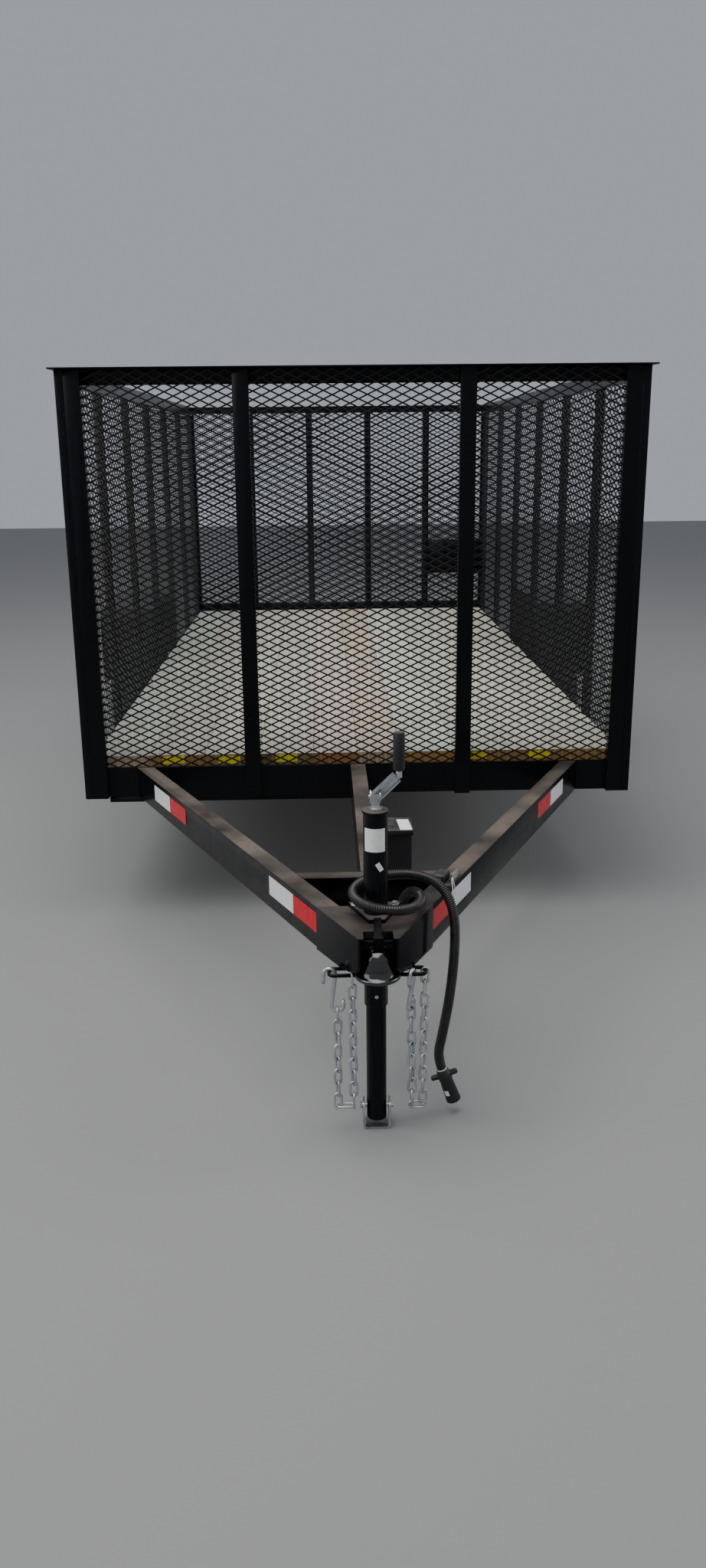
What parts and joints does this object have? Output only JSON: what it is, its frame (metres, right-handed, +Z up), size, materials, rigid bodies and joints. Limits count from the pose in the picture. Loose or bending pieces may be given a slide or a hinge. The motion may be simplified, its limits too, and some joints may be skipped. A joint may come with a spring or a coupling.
{
  "type": "utility_trailer",
  "caption": "Single-axle utility trailer with a plank deck, tall expanded-metal walls, a mesh ramp gate and an A-frame tongue resting on its jack",
  "frame": {"origin": "middle of the footprint, on the ground", "axes": "metres, +Z up, +Y to the rear gate, -Y to the coupler, +X to the right when seen from the tongue"},
  "size_m": [2.3188, 5.1722, 1.797],
  "materials": {
    "painted_steel": "satin",
    "galvanised": "dull",
    "deck_wood": "weathered",
    "tyre_rubber": "worn",
    "rim_paint": "gloss",
    "black_plastic": "matte",
    "black_rubber": "matte",
    "lamp_red": "gloss"
  },
  "bodies": {
    "trailer": {"axle": "painted_steel", "battery_box": "black_plastic", "breakaway_switch": "black_plastic", "chain_hooks": "galvanised", "chain_left": "galvanised", "chain_loops": "painted_steel", "chain_right": "galvanised", "coupler": "painted_steel", "coupler_latch": "painted_steel", "crossmembers": "painted_steel", "deck_boards": "deck_wood", "fender_left": "painted_steel", "fender_right": "painted_steel", "frame_header": "painted_steel", "frame_rail_left": "painted_steel", "frame_rail_right": "painted_steel", "frame_rear_sill": "painted_steel", "front_mesh": "painted_steel", "front_posts": "painted_steel", "front_top_rail": "painted_steel", "gate_hinge_barrels": "painted_steel", "harness_clip": "black_plastic", "harness_loom": "black_rubber", "harness_plug": "black_plastic", "header_wiring_channel": "painted_steel", "jack_crank": "galvanised", "jack_grip": "black_rubber", "jack_tube": "painted_steel", "left_mesh": "painted_steel", "left_top_rail": "painted_steel", "left_uprights": "painted_steel", "right_mesh": "painted_steel", "right_top_rail": "painted_steel", "right_uprights": "painted_steel", "spring_left": "painted_steel", "spring_right": "painted_steel", "tail_lights": "lamp_red", "tongue_centre_rail": "painted_steel", "tongue_crosspiece": "painted_steel", "tongue_rail_left": "painted_steel", "tongue_rail_right": "painted_steel"},
    "wheel_left": {"tyre_left": "tyre_rubber", "rim_left": "rim_paint", "hub_left": "painted_steel"},
    "wheel_right": {"tyre_right": "tyre_rubber", "rim_right": "rim_paint", "hub_right": "painted_steel"},
    "gate": {"gate_frame": "painted_steel", "gate_mesh": "painted_steel", "gate_plate": "painted_steel"},
    "jack_foot_and_leg": {"jack_leg": "painted_steel", "jack_foot": "galvanised"}
  },
  "joints": [
    {"name": "wheel_left_turn", "type": "hinge", "parent": "trailer", "child": "wheel_left", "pos_m": [-1.042, 1.04335, 0.345], "axis": [1, 0, 0], "continuous": true},
    {"name": "wheel_right_turn", "type": "hinge", "parent": "trailer", "child": "wheel_right", "pos_m": [1.042, 1.04335, 0.345], "axis": [1, 0, 0], "continuous": true},
    {"name": "gate_hinge", "type": "hinge", "parent": "trailer", "child": "gate", "pos_m": [0, 2.56075, 0.544], "axis": [-1, 0, 0], "range_deg": [0, 115]},
    {"name": "jack_leg_slide", "type": "slide", "parent": "trailer", "child": "jack_foot_and_leg", "axis": [0, 0, 1], "range_m": [0, 0.24]}
  ]
}
